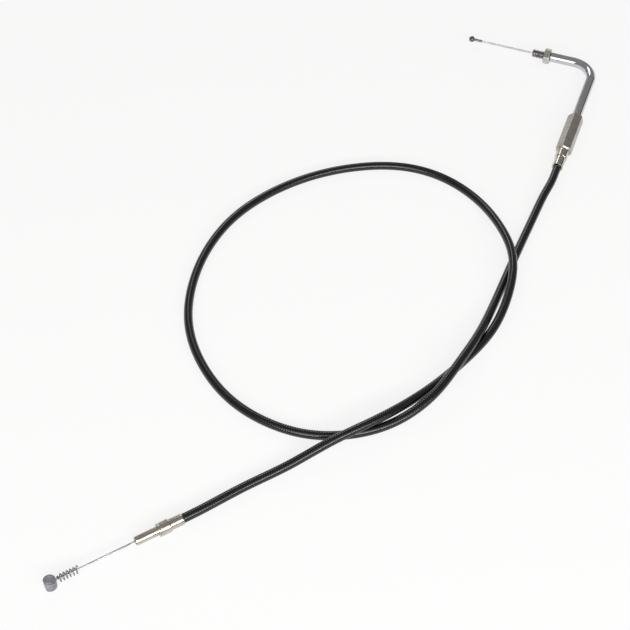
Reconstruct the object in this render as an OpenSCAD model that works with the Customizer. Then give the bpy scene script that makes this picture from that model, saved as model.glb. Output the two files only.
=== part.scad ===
// Throttle control cable: a lined, steel wound casing in one loose loop.
// Grip end: 90 degree elbow, threaded stud, lock nut, hex adjuster sleeve, ball end.
// Carburettor end: stepped ferrule, guide tube, return spring, barrel nipple.
// +X runs out of the stud's mouth, +Y along the elbow's second leg, +Z up. Millimetres.

/* [Casing] */
// Outside diameter of the black jacket
casing_d = 6.2; // [5.8:0.1:6.6]
// Outside diameter of the steel winding under the jacket
winding_d = 4.4; // [4.0:0.1:4.8]
// Outside diameter of the plastic liner tube
liner_d = 2.8; // [2.6:0.1:3.2]
// Bore of the plastic liner tube
liner_bore = 2.0; // [1.9:0.05:2.2]

/* [Inner wire] */
// Diameter of the stranded inner wire
wire_d = 1.4; // [1.2:0.05:1.5]
// Free length of wire between the stud's mouth and the centre of the ball
grip_wire_len = 51.3; // [42:0.1:60]
// Diameter of the ball end
ball_d = 4.8; // [4.2:0.1:5.6]
// Diameter of the crimped collar beside the ball
ball_collar_d = 2.1; // [1.9:0.1:2.6]
// Length of the crimped collar beside the ball
ball_collar_len = 6; // [4:0.5:7.5]
// Free length of wire between the guide tube's mouth and the nipple's axis
carb_wire_len = 55.2; // [53:0.1:66]

/* [Elbow] */
// Outside diameter of the elbow tube
tube_d = 7.6; // [6.8:0.1:7.8]
// Wall of the elbow tube
tube_wall = 1.0; // [0.8:0.05:1.1]
// Radius of the tube's bend, on its centre line
bend_r = 18; // [15:0.5:21.5]
// Straight tube between the lock nut and the bend
leg_in_len = 18.8; // [14:0.1:21]
// Straight tube between the bend and the adjuster sleeve
leg_out_len = 48; // [40:0.5:54]

/* [Stud and lock nut] */
// Major diameter of the stud's thread
stud_d = 6.35; // [6:0.05:6.4]
// Threaded length that stands out of the lock nut
stud_free_len = 9.5; // [8:0.1:11.5]
// Bore of the stud
stud_bore = 3.8; // [3.2:0.1:4]
// Width of the lock nut and the sleeve across their flats
hex_af = 11.1; // [10.9:0.1:11.5]
// Thickness of the lock nut
nut_len = 5.2; // [4.4:0.1:6.2]

/* [Adjuster] */
// Length of the hex adjuster sleeve
sleeve_len = 41.5; // [38:0.5:49]
// Wall at the sleeve's top, where the elbow tube passes through
sleeve_top_wall = 4; // [3.4:0.1:4.8]
// Major diameter of the adjuster thread
screw_d = 8.6; // [8.4:0.05:8.6]
// Furthest travel of the adjuster sleeve
adjuster_travel = 10; // [8:0.5:12]

/* [Ferrules] */
// Diameter of the upper ferrule's collar
upper_collar_d = 9.2; // [8.8:0.1:9.3]
// Diameter of the upper ferrule's crimped barrel
upper_crimp_d = 8.2; // [7.6:0.1:8.4]
// Length of the upper ferrule's crimped barrel
upper_crimp_len = 10; // [8.5:0.5:12]
// Diameter of the lower ferrule's collar
lower_collar_d = 8.8; // [8.2:0.1:8.8]
// Length of the lower ferrule's collar
lower_collar_len = 7.5; // [6.5:0.5:9]
// Diameter of the lower ferrule's crimped barrel
lower_crimp_d = 7.3; // [7:0.1:7.8]
// Length of the lower ferrule's crimped barrel
lower_crimp_len = 9; // [7.5:0.5:10.5]
// Diameter of the guide tube at the carburettor end
guide_d = 5.9; // [5.6:0.1:6.1]
// Length of guide tube that stands out of the lower ferrule
guide_len = 15; // [12.5:0.5:18]

/* [Nipple and spring] */
// Diameter of the barrel nipple
nipple_d = 7.8; // [7:0.1:8.2]
// Height of the barrel nipple
nipple_h = 8; // [7:0.1:8.4]
// Outside diameter of the return spring
spring_d = 5.2; // [4.8:0.1:5.6]
// Diameter of the spring's wire
spring_wire_d = 0.8; // [0.7:0.05:0.9]
// Length of the return spring
spring_len = 14; // [12:0.5:16]

/* [Fits] */
// Radial clearance of a running or sliding fit
run_gap = 0.08; // [0.05:0.01:0.1]
// Radial clearance between pieces that are crimped or pressed together
seat_gap = 0.03; // [0.02:0.01:0.05]
// Gap between end faces that turn against each other
face_gap = 0.2; // [0.1:0.05:0.3]

/* [Hidden] */
$fn = 48;
eps = 0.01;

// Places along the grip end. The stud's mouth is x = 0, the second leg lies at x = leg_x.
nut_at = -stud_free_len - nut_len;
tube_at = nut_at - face_gap;
bend_at = tube_at - leg_in_len;
leg_x = bend_at - bend_r;
sleeve_at = bend_r + leg_out_len;
shoulder_at = sleeve_at + sleeve_top_wall;
washer_len = 0.8;
collar_at = shoulder_at + washer_len + 2 * face_gap;
collar_len = 3;
tube_end = collar_at + collar_len;
sleeve_end = sleeve_at + sleeve_len;
recess_depth = 3.5;
recess_at = sleeve_end - recess_depth;
ferrule_at = recess_at + face_gap;
crimp_at = sleeve_end + 8.5;
crimp_end = crimp_at + upper_crimp_len;
thread_engagement = 14;
screw_at = ferrule_at - thread_engagement - adjuster_travel;
screw_spigot_d = 6.4;
core_joint = screw_at - 1;
thread_bore = screw_d / 2 + run_gap;
sleeve_tilt = -17;
nut_tilt = -9;

// The crimped barrels keep a wall over whatever casing they hold.
upper_barrel_d = max(upper_crimp_d, casing_d + 1);
lower_barrel_d = max(lower_crimp_d, casing_d + 1);
lower_stop_d = max(lower_collar_d, lower_barrel_d + 0.4);

// The stud's neck under the nut, and its spigot in the tube.
neck_d = stud_d - 0.6;
tube_bore = tube_d - 2 * tube_wall;
spigot_len = 6;
stud_end = tube_at - spigot_len;
grip_wire_end = bend_at + 1;

// Places along the carburettor end, measured from the guide tube's mouth along its axis.
// Outward is positive; the ferrule and the casing lie on the negative side.
lower_at = [105.3, 530.5, -2];
lower_turn = 51;
lower_way = [cos(lower_turn), sin(lower_turn), 0];
lower_collar_end = -guide_len - lower_collar_len;
lower_crimp_end = lower_collar_end - lower_crimp_len;
casing_seat = -guide_len - 4;
guide_bore = 4;
guide_spigot_d = guide_d - 0.6;
guide_bush_at = 1;
guide_bush_len = 8;
carb_wire_end = -6;
spring_gap = 0.6;
spring_turns = 6;

// Points of the casing's route, from the lower ferrule to the upper one. It lies on the
// ground, passes over itself in long low humps, and rises to the ferrule's axis at the end.
function on_lower_axis(s) = lower_at + s * lower_way;
route_mid = [
    [58.8, 468.8, -3.2], [39.5, 448, -2.2], [20, 423, 3], [1, 403, 4.8], [-14.5, 379, 1.2],
    [-28, 352.2, -3.2], [-40.2, 324.5, -3.2], [-51.2, 295, -2.5], [-52.6, 262.5, 2.5], [-47.5, 230, 4.6],
    [-30, 202, 1.5], [-6.5, 176, -3.2], [25, 161, -3.2], [58, 160, -3.2], [89.6, 173, -3.2],
    [117.2, 193, -3.2], [140, 219.8, -3.2], [157, 253, -3.2], [162.5, 288, -3.2], [160, 322, -3.2],
    [149.5, 358, -3.2], [128.5, 387.2, -3.2], [99.5, 410.4, -3.2], [69, 420.7, -3.2], [38, 421.7, -3.2],
    [10.3, 411.2, -3.2], [-14.2, 392.6, -2.2], [-31.4, 365.6, 3.2], [-37.4, 337.6, 5.6], [-43, 308, 3],
    [-44, 276, -2.8], [-45, 245, -3.2], [-46, 214, -3.2], [-47.8, 184, -3], [-49.2, 156.5, -1.4],
];
route = concat(
    [for (s = [casing_seat, casing_seat - 14, casing_seat - 28]) on_lower_axis(s)],
    route_mid,
    [for (y = [crimp_at + 28, crimp_at + 14, crimp_at]) [leg_x, y, 0]]
);

// A smooth curve that the route's points guide, with its first and last point kept.
spans = len(route) - 1;
rings_per_span = 2;
function guide(i) =
    i < 0 ? 2 * route[0] - route[1]
    : i > spans ? 2 * route[spans] - route[spans - 1]
    : route[i];
function curve_point(i, t) = (
    pow(1 - t, 3) * guide(i - 1)
    + (3 * pow(t, 3) - 6 * t * t + 4) * guide(i)
    + (1 + 3 * t + 3 * t * t - 3 * pow(t, 3)) * guide(i + 1)
    + pow(t, 3) * guide(i + 2)
) / 6;
casing_line = concat(
    [for (i = [0:spans - 1], k = [0:rings_per_span - 1]) curve_point(i, k / rings_per_span)],
    [route[spans]]
);

// The wire's still stretch starts past the moving wire's reach and ends in the adjuster screw.
core_start_ring = 3;
core_line = concat(
    [for (i = [core_start_ring:len(casing_line) - 1]) casing_line[i]],
    [for (y = [(crimp_at + core_joint) / 2, core_joint]) [leg_x, y, 0]]
);

// Ring frames: the side vector stays level, so nested tubes share the same rings.
function unit(v) = v / norm(v);
function heading(line, i) =
    unit(line[min(i + 1, len(line) - 1)] - line[max(i - 1, 0)]);
function ring(centre, way, r, sides) =
    let (side = unit(cross([0, 0, 1], way)), up = cross(way, side))
    [for (k = [0:sides - 1]) let (a = 360 * (k + 0.5) / sides)
        centre + r * (cos(a) * side + sin(a) * up)];
function rings(line, r, sides) =
    [for (i = [0:len(line) - 1]) each ring(line[i], heading(line, i), r, sides)];
function skin(n, sides, from, outward) =
    [for (i = [0:n - 2], k = [0:sides - 1]) let (
        a = from + i * sides + k,
        b = from + i * sides + (k + 1) % sides)
        outward ? [a, a + sides, b + sides, b] : [a, b, b + sides, a + sides]];

// A solid rod swept along a line.
module swept_rod(line, r, sides) {
    n = len(line);
    polyhedron(
        points = rings(line, r, sides),
        faces = concat(
            skin(n, sides, 0, true),
            [[for (k = [0:sides - 1]) k]],
            [[for (k = [sides - 1:-1:0]) (n - 1) * sides + k]]
        ),
        convexity = 8
    );
}

// A hollow tube swept along a line, closed by a flat ring at each end.
module swept_tube(line, r, bore_r, sides) {
    n = len(line);
    inner = n * sides;
    last = (n - 1) * sides;
    polyhedron(
        points = concat(rings(line, r, sides), rings(line, bore_r, sides)),
        faces = concat(
            skin(n, sides, 0, true),
            skin(n, sides, inner, false),
            [for (k = [0:sides - 1]) let (j = (k + 1) % sides) [k, j, inner + j, inner + k]],
            [for (k = [0:sides - 1]) let (j = (k + 1) % sides)
                [last + j, last + k, inner + last + k, inner + last + j]]
        ),
        convexity = 8
    );
}

// Round stock with a hole, from one place to another along the local +Z axis.
module pipe(from, to, d, bore) {
    translate([0, 0, from])
        difference() {
            cylinder(h = to - from, d = d);
            translate([0, 0, -eps])
                cylinder(h = to - from + 2 * eps, d = bore);
        }
}

// Local +Z turned onto the stud's axis, the second leg's axis or the carburettor end's axis.
module on_stud() {
    rotate([0, 90, 0]) children();
}
module on_leg() {
    translate([leg_x, 0, 0]) rotate([-90, 0, 0]) children();
}
module on_lower() {
    translate(lower_at) rotate([0, 0, lower_turn]) rotate([0, 90, 0]) children();
}

// A rod that follows the elbow: straight from x_from, round the bend, straight to y_to.
module bent_rod(d, x_from, y_to) {
    if (x_from > bend_at)
        on_stud() translate([0, 0, bend_at]) cylinder(h = x_from - bend_at, d = d);
    translate([bend_at, bend_r, 0])
        rotate([0, 0, 180])
            rotate_extrude(angle = 90) translate([bend_r, 0]) circle(d = d);
    on_leg() translate([0, 0, bend_r]) cylinder(h = y_to - bend_r, d = d);
}

// Hexagon stock whose corners are cut back to a cone at both ends.
module hex_stock(from, to, chamfer) {
    corner_d = hex_af / cos(30);
    translate([0, 0, from])
        intersection() {
            cylinder(h = to - from, d = corner_d, $fn = 6);
            rotate_extrude()
                polygon([
                    [0, 0],
                    [corner_d / 2 - chamfer, 0],
                    [corner_d / 2 + eps, chamfer * 0.7],
                    [corner_d / 2 + eps, to - from - chamfer * 0.7],
                    [corner_d / 2 - chamfer, to - from],
                    [0, to - from],
                ]);
        }
}

// Extruded outer tube of the casing.
module casing_jacket() {
    color([0.05, 0.05, 0.055])
        swept_tube(casing_line, casing_d / 2, winding_d / 2 + 0.1, 10);
}

// Flat steel wire wound edge to edge, as the tube that it forms.
module casing_winding() {
    color([0.55, 0.56, 0.58])
        swept_tube(casing_line, winding_d / 2, liner_d / 2 + 0.1, 10);
}

// Slippery plastic tube that the wire runs in.
module casing_liner() {
    color([0.9, 0.9, 0.86])
        swept_tube(casing_line, liner_d / 2, liner_bore / 2, 10);
}

// The stretch of inner wire that stays inside the casing at every throttle position.
module casing_core() {
    color([0.68, 0.69, 0.7]) swept_rod(core_line, wire_d / 2, 10);
}

// Plated cap crimped on the casing, with the adjuster screw pressed into its collar.
module upper_ferrule() {
    color([0.78, 0.77, 0.74])
        on_leg()
            difference() {
                union() {
                    pipe(ferrule_at, crimp_at, upper_collar_d, screw_spigot_d + 2 * seat_gap);
                    pipe(crimp_at, crimp_end, upper_barrel_d, casing_d + 2 * seat_gap);
                }
                translate([0, 0, crimp_at - eps])
                    cylinder(h = upper_crimp_len, d = casing_d + 2 * seat_gap);
            }
}

// Hollow screw on which the adjuster sleeve turns.
module adjuster_screw() {
    color([0.7, 0.7, 0.68])
        on_leg() {
            pipe(screw_at, ferrule_at, screw_d, liner_d);
            pipe(ferrule_at - eps, crimp_at - seat_gap, screw_spigot_d, liner_d);
        }
}

// Plated cap crimped on the casing's other end, with a stepped collar.
module lower_ferrule() {
    seat_bore = casing_d + 2 * seat_gap;
    color([0.78, 0.77, 0.74])
        on_lower() {
            pipe(casing_seat + eps, -guide_len, lower_stop_d, guide_spigot_d + 2 * seat_gap);
            pipe(lower_collar_end, casing_seat + 2 * eps, lower_stop_d, seat_bore);
            pipe(lower_crimp_end, lower_collar_end + eps, lower_barrel_d, seat_bore);
        }
}

// Steel tube that guides the wire into the carburettor's bracket, with a spigot in the collar.
module guide_tube() {
    color([0.8, 0.79, 0.77])
        on_lower() {
            pipe(-guide_len, 0, guide_d, guide_bore);
            pipe(casing_seat + seat_gap, -guide_len + eps, guide_spigot_d, guide_bore);
        }
}

// Plastic bush that centres the wire in the guide tube.
module guide_bush() {
    color([0.86, 0.86, 0.83])
        on_lower()
            pipe(-guide_bush_at - guide_bush_len, -guide_bush_at,
                guide_bore - 2 * seat_gap, wire_d + 2 * run_gap);
}

// Washer between the sleeve's shoulder and the collar that the elbow swivels on.
module thrust_washer() {
    color([0.72, 0.66, 0.45])
        on_leg()
            pipe(shoulder_at + face_gap, shoulder_at + face_gap + washer_len,
                screw_d - 0.3, tube_d + 2 * run_gap);
}

// Long hexagon nut that lengthens or shortens the casing.
module adjuster_sleeve() {
    color([0.62, 0.61, 0.59])
        on_leg()
            rotate([0, 0, sleeve_tilt])
                difference() {
                    hex_stock(sleeve_at, sleeve_end, 1.9);
                    translate([0, 0, sleeve_at - eps])
                        cylinder(h = sleeve_len, d = tube_d + 2 * run_gap);
                    translate([0, 0, shoulder_at])
                        cylinder(h = sleeve_len, r = thread_bore);
                    translate([0, 0, recess_at])
                        cylinder(h = recess_depth + eps, d = upper_collar_d + 4 * run_gap);
                }
}

// Chromed steel tube bent through a right angle.
module elbow_tube() {
    color([0.75, 0.76, 0.78])
        difference() {
            bent_rod(tube_d, tube_at, tube_end);
            bent_rod(tube_bore, tube_at + eps, tube_end + eps);
        }
}

// Hollow stud brazed into the tube, threaded for the twist grip's housing.
module threaded_stud() {
    color([0.5, 0.48, 0.5])
        on_stud()
            difference() {
                union() {
                    translate([0, 0, -stud_free_len]) cylinder(h = stud_free_len, d = stud_d);
                    translate([0, 0, tube_at])
                        cylinder(h = -stud_free_len - tube_at + eps, d = neck_d);
                    translate([0, 0, stud_end])
                        cylinder(h = spigot_len + eps, d = tube_bore - 2 * seat_gap);
                }
                translate([0, 0, stud_end - eps])
                    cylinder(h = -stud_end + 2 * eps, d = stud_bore);
            }
}

// Ring brazed on the tube's end, which keeps it in the sleeve and lets it turn.
module swivel_collar() {
    color([0.7, 0.7, 0.68])
        on_leg() pipe(collar_at, tube_end, screw_d - 0.3, tube_d + 2 * seat_gap);
}

// Plastic lining of the bent tube.
module elbow_liner() {
    color([0.9, 0.9, 0.86])
        difference() {
            bent_rod(tube_bore - 0.2, stud_end - face_gap, tube_end - face_gap);
            bent_rod(liner_bore, stud_end, tube_end);
        }
}

// The stretch of inner wire that stays inside the elbow at every throttle position.
module elbow_core() {
    color([0.68, 0.69, 0.7]) bent_rod(wire_d, bend_at, core_joint - 1);
}

// Plastic bush that centres the wire in the stud's mouth.
module stud_bush() {
    color([0.86, 0.86, 0.83])
        on_stud() pipe(-8, -1, stud_bore - 2 * seat_gap, wire_d + 2 * run_gap);
}

// Hexagon nut that locks the stud in the housing.
module lock_nut() {
    color([0.74, 0.74, 0.72])
        on_stud()
            difference() {
                rotate([0, 0, nut_tilt]) hex_stock(nut_at, -stud_free_len, 1.0);
                translate([0, 0, nut_at - eps])
                    cylinder(h = nut_len + 2 * eps, d = neck_d + 2 * run_gap);
            }
}

// Stranded wire that the twist grip pulls, as the rod that its strands form.
module grip_wire() {
    color([0.72, 0.73, 0.74])
        on_stud()
            translate([0, 0, grip_wire_end])
                cylinder(h = grip_wire_len - ball_d / 2 - grip_wire_end + 0.5, d = wire_d);
}

// Small collar crimped on the wire against the ball.
module ball_collar() {
    color([0.62, 0.6, 0.58])
        on_stud()
            translate([0, 0, grip_wire_len - ball_d / 2 - ball_collar_len])
                difference() {
                    cylinder(h = ball_collar_len, d = ball_collar_d);
                    translate([0, 0, -eps])
                        cylinder(h = ball_collar_len + 2 * eps, d = wire_d + 2 * seat_gap);
                }
}

// Ball cast on the wire's end, which seats in the twist grip's drum.
module ball_end() {
    color([0.6, 0.58, 0.57])
        on_stud()
            difference() {
                translate([0, 0, grip_wire_len]) sphere(d = ball_d);
                translate([0, 0, grip_wire_len - ball_d])
                    cylinder(h = ball_d / 2 + 0.6, d = wire_d + 2 * seat_gap);
            }
}

// Stranded wire that pulls the carburettor's lever.
module carb_wire() {
    color([0.72, 0.73, 0.74])
        on_lower()
            translate([0, 0, carb_wire_end])
                cylinder(h = carb_wire_len - carb_wire_end, d = wire_d);
}

// Centre line of the return spring: a helix whose outer turn closes onto the wire.
spring_end = carb_wire_len - nipple_d / 2 - spring_gap - spring_wire_d / 2;
spring_start = spring_end - spring_len + spring_wire_d;
coil_r = (spring_d - spring_wire_d) / 2;
grip_r = (wire_d + spring_wire_d) / 2 + seat_gap;
spring_steps = 72;
spring_line = [for (i = [0:spring_steps]) let (
    t = i / spring_steps,
    closing = max(0, 1 - t * spring_turns),
    r = coil_r + (grip_r - coil_r) * closing,
    a = 360 * spring_turns * t)
    [r * cos(a), r * sin(a), spring_start + t * (spring_end - spring_start)]];

// The coil's rings stand square to the helix, with the radius as their side vector.
function coil_ring(i) =
    let (
        way = heading(spring_line, i),
        out = unit([spring_line[i][0], spring_line[i][1], 0]),
        side = unit(out - (out * way) * way),
        up = cross(way, side))
    [for (k = [0:7]) let (a = 45 * k)
        spring_line[i] + spring_wire_d / 2 * (cos(a) * side + sin(a) * up)];

// Small coil spring threaded on the wire beside the nipple.
module return_spring() {
    n = spring_steps + 1;
    color([0.66, 0.66, 0.64])
        on_lower()
            polyhedron(
                points = [for (i = [0:n - 1]) each coil_ring(i)],
                faces = concat(
                    skin(n, 8, 0, true),
                    [[for (k = [0:7]) k]],
                    [[for (k = [7:-1:0]) (n - 1) * 8 + k]]
                ),
                convexity = 8
            );
}

// Die cast barrel that hooks into the carburettor's lever, with a flat on its far side.
module barrel_nipple() {
    disc_h = 0.8;
    color([0.45, 0.46, 0.47])
        difference() {
            translate(on_lower_axis(carb_wire_len)) {
                intersection() {
                    translate([0, 0, -nipple_h / 2]) cylinder(h = nipple_h - disc_h, d = nipple_d);
                    rotate([0, 0, lower_turn])
                        translate([-nipple_d, -nipple_d, -nipple_h])
                            cube([nipple_d * 1.43, 2 * nipple_d, 2 * nipple_h]);
                }
                translate([0, 0, nipple_h / 2 - disc_h - eps])
                    cylinder(h = disc_h + eps, d = nipple_d * 0.76);
            }
            on_lower()
                translate([0, 0, carb_wire_len - nipple_d])
                    cylinder(h = nipple_d + eps, d = wire_d + 2 * seat_gap);
        }
}

casing_jacket();
casing_winding();
casing_liner();
casing_core();
upper_ferrule();
adjuster_screw();
lower_ferrule();
guide_tube();
guide_bush();
thrust_washer();
adjuster_sleeve();
elbow_tube();
threaded_stud();
swivel_collar();
elbow_liner();
elbow_core();
stud_bush();
lock_nut();
grip_wire();
ball_collar();
ball_end();
carb_wire();
return_spring();
barrel_nipple();
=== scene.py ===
"""Looks of a throttle control cable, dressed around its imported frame.

A ribbed black casing lies in one loose loop. Its grip end has a crimped ferrule, a hexagon
adjuster sleeve, a chromed elbow, a threaded stud with its lock nut, and a ball on the wire.
Its carburettor end has a stepped ferrule, a guide tube, a spring and a barrel nipple.
"""

import logging
import math
from dataclasses import dataclass, field
from enum import Enum
from typing import Callable, Optional, Sequence, Union

import bmesh
import bpy
from mathutils import Matrix, Vector


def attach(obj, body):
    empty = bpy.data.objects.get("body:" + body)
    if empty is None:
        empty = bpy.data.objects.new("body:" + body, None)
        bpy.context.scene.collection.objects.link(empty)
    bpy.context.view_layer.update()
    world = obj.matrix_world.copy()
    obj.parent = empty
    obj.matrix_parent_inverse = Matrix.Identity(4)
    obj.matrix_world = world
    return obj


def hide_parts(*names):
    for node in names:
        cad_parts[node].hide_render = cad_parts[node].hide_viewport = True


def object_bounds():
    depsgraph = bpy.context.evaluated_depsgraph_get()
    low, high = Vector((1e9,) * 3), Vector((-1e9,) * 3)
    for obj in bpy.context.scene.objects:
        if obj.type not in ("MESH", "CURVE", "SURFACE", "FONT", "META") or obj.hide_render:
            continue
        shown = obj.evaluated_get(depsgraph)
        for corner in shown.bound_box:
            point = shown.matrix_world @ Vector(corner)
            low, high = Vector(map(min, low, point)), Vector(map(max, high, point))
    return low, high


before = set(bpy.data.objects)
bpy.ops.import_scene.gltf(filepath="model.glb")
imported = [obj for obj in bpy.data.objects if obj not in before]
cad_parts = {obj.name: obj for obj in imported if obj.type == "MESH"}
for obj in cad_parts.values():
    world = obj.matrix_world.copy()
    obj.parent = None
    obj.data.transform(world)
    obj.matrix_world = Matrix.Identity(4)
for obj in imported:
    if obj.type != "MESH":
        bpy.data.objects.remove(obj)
cad_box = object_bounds()

LOG = logging.getLogger("throttle_cable")
MM = 0.001
TURN = 2 * math.pi
# A corner's rounding takes at most this share of each side that meets there.
ROUNDING_SHARE = 0.3
# The close ring behind a rounding lies this many roundings from the corner.
BACKING = 1.3
# Grain finer than this is drawn this coarse, because less doesn't show.
FINEST_GRAIN_MM = 0.3
PATCH_MM = 6
# Height of a surface's relief, as a share of its grain.
RELIEF_SHARE = 0.2
Profile = list[tuple[float, float]]
Shape = Callable[[float, float, float], float]


def linear(hex_colour: str) -> tuple[float, float, float, float]:
    """Turns an sRGB colour into the linear one that a shader takes.

    Args:
        hex_colour: The colour as six hex digits.

    Returns:
        Linear red, green, blue and an alpha of one.
    """
    parts = [int(hex_colour[i : i + 2], 16) / 255 for i in (0, 2, 4)]
    return (*[c / 12.92 if c <= 0.04045 else ((c + 0.055) / 1.055) ** 2.4 for c in parts], 1.0)


def add(
    tree: bpy.types.NodeTree,
    kind: str,
    inputs: Optional[dict[Union[str, int], object]] = None,
    **settings: object,
) -> bpy.types.Node:
    """Adds a node to a tree, with its settings, values and links.

    Args:
        tree: The tree that gets the node.
        kind: The node's type name.
        inputs: Values or output sockets by input name or number.
        **settings: Properties of the node.

    Returns:
        The new node.
    """
    node = tree.nodes.new(kind)
    for name, value in settings.items():
        setattr(node, name, value)
    for key, value in (inputs or {}).items():
        if isinstance(value, bpy.types.NodeSocket):
            tree.links.new(value, node.inputs[key])
        else:
            node.inputs[key].default_value = value
    return node


# ---------------------------------------------------------------- finishes


class Texture(Enum):
    """How a surface was made, which sets the pattern that breaks up its colour."""

    TURNED = "fine rings left by a lathe"
    POLISHED = "polished and plated, with faint wipes"
    CAST = "pressure cast, with a fine sandy skin"
    MOULDED = "extruded or moulded, with a soft skin"
    DRAWN = "drawn wire, with lengthwise streaks"


@dataclass(frozen=True)
class Finish:
    """One material of the cable, as a maker would order it.

    Attributes:
        name: What it is and how it was made.
        colour: Main colour, sRGB hex.
        shade: Colour of its darker or worn patches, sRGB hex.
        metallic: One for a metal, nought for a plastic.
        roughness: Middle roughness.
        spread: How far the roughness wanders to each side.
        texture: How the surface was made.
        grain_mm: Size of the pattern's grain.
        bump: Strength of the relief.
        ior: Index of refraction of a plastic; a metal keeps the default.
    """

    name: str
    colour: str
    shade: str
    metallic: float
    roughness: float
    spread: float
    texture: Texture
    grain_mm: float
    bump: float
    ior: float = 1.5

    def material(self) -> bpy.types.Material:
        """Builds the material once, and returns it each time it is asked for."""
        made = bpy.data.materials.get(self.name)
        if made:
            return made
        made = bpy.data.materials.new(self.name)
        made.use_nodes = True
        tree = made.node_tree
        tree.nodes.clear()
        grain, patches = self.pattern(tree)
        colour = add(tree, "ShaderNodeMix", {"Factor": patches}, data_type="RGBA")
        colour.inputs["A"].default_value = linear(self.colour)
        colour.inputs["B"].default_value = linear(self.shade)
        rough = add(
            tree,
            "ShaderNodeMapRange",
            {
                "Value": grain,
                "To Min": self.roughness - self.spread,
                "To Max": self.roughness + self.spread,
            },
        )
        relief = add(
            tree,
            "ShaderNodeBump",
            {
                "Height": grain,
                "Strength": self.bump,
                "Distance": self.grain_mm * MM * RELIEF_SHARE,
            },
        )
        shader = add(
            tree,
            "ShaderNodeBsdfPrincipled",
            {
                "Base Color": colour.outputs["Result"],
                "Roughness": rough.outputs["Result"],
                "Normal": relief.outputs["Normal"],
                "Metallic": self.metallic,
            },
        )
        if not self.metallic:
            shader.inputs["IOR"].default_value = self.ior
        add(tree, "ShaderNodeOutputMaterial", {"Surface": shader.outputs["BSDF"]})
        return made

    def pattern(
        self, tree: bpy.types.NodeTree
    ) -> tuple[bpy.types.NodeSocket, bpy.types.NodeSocket]:
        """Adds the nodes of the surface's grain and of its larger patches.

        Args:
            tree: The material's node tree.

        Returns:
            The grain and the patches, both from nought to one.
        """
        place = add(tree, "ShaderNodeTexCoord").outputs["Object"]
        drawn_mm = max(self.grain_mm, FINEST_GRAIN_MM)
        grain = add(
            tree,
            "ShaderNodeTexNoise",
            {"Vector": place, "Scale": 1 / (drawn_mm * MM), "Detail": 3.0},
        ).outputs["Fac"]
        patches = add(
            tree,
            "ShaderNodeTexNoise",
            {"Vector": place, "Scale": 1 / (PATCH_MM * MM), "Detail": 4.0},
        ).outputs["Fac"]
        low, high = {
            Texture.TURNED: (0.42, 0.72),
            Texture.POLISHED: (0.5, 0.85),
            Texture.CAST: (0.3, 0.7),
            Texture.MOULDED: (0.45, 0.8),
            Texture.DRAWN: (0.35, 0.7),
        }[self.texture]
        ramp = add(
            tree, "ShaderNodeMapRange", {"Value": patches, "From Min": low, "From Max": high}
        )
        return grain, ramp.outputs["Result"]


# Extruded PVC: glossy black, and greyer where it has rubbed on its ribs.
VINYL = Finish(
    "extruded_black_pvc", "0a0a0b", "141416", 0.0, 0.14, 0.05, Texture.MOULDED, 0.4, 0.05, 1.53
)
# Bright chromium plate on steel tube: a near mirror with a cold tint.
CHROME = Finish(
    "bright_chrome_plate", "c9cbcf", "b9bbc0", 1.0, 0.07, 0.03, Texture.POLISHED, 0.5, 0.02
)
# Dull nickel plate on a milled hexagon: satin, slightly warm.
SATIN_NICKEL = Finish(
    "satin_nickel_plate", "b9b5ae", "a39e97", 1.0, 0.34, 0.07, Texture.TURNED, 0.4, 0.08
)
# Nickel plate on turned and pressed caps: bright, slightly warm.
NICKEL = Finish(
    "bright_nickel_plate", "cbc6bd", "b5aea4", 1.0, 0.17, 0.05, Texture.TURNED, 0.4, 0.05
)
# Zinc plate on a pressed nut: bright grey with a soft bloom.
ZINC_PLATE = Finish(
    "zinc_plated_steel", "c9c8c4", "aaa8a4", 1.0, 0.26, 0.08, Texture.TURNED, 0.5, 0.06
)
# Rolled thread, plated thinly: darker steel with oil in the roots.
THREAD_STEEL = Finish(
    "rolled_thread_steel", "a19c9f", "6f6a6e", 1.0, 0.24, 0.08, Texture.TURNED, 0.4, 0.06
)
# Pressure die cast zinc: dull grey with a sandy skin.
CAST_ZINC = Finish(
    "die_cast_zinc", "a3a4a7", "7d7e82", 0.7, 0.5, 0.12, Texture.CAST, 0.5, 0.35
)
# Ball cast on the wire: grey alloy, rubbed bright.
CAST_BALL = Finish(
    "cast_ball_alloy", "9b9896", "6a6765", 1.0, 0.3, 0.1, Texture.CAST, 0.5, 0.2
)
# Galvanised strand: grey steel, a soft shine along each wire.
STRAND = Finish(
    "galvanised_strand", "dcdddf", "b9babd", 1.0, 0.34, 0.08, Texture.DRAWN, 0.35, 0.05
)
# Hard drawn spring wire.
SPRING_WIRE = Finish(
    "drawn_spring_steel", "a5a5a3", "777774", 1.0, 0.3, 0.08, Texture.DRAWN, 0.4, 0.06
)
# Flat wire of the winding, blue grey and oiled.
WINDING = Finish(
    "flat_winding_steel", "8f9296", "6c6f73", 1.0, 0.36, 0.08, Texture.DRAWN, 0.4, 0.06
)
# Natural nylon and acetal: milky, a soft shine.
LINER = Finish(
    "natural_nylon", "e6e5dc", "d6d4c8", 0.0, 0.42, 0.05, Texture.MOULDED, 0.6, 0.04, 1.53
)
# Brass washer stock.
BRASS = Finish("rolled_brass", "c9b26b", "a8904f", 1.0, 0.3, 0.08, Texture.POLISHED, 0.5, 0.05)


# ---------------------------------------------------------------- shapes


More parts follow.
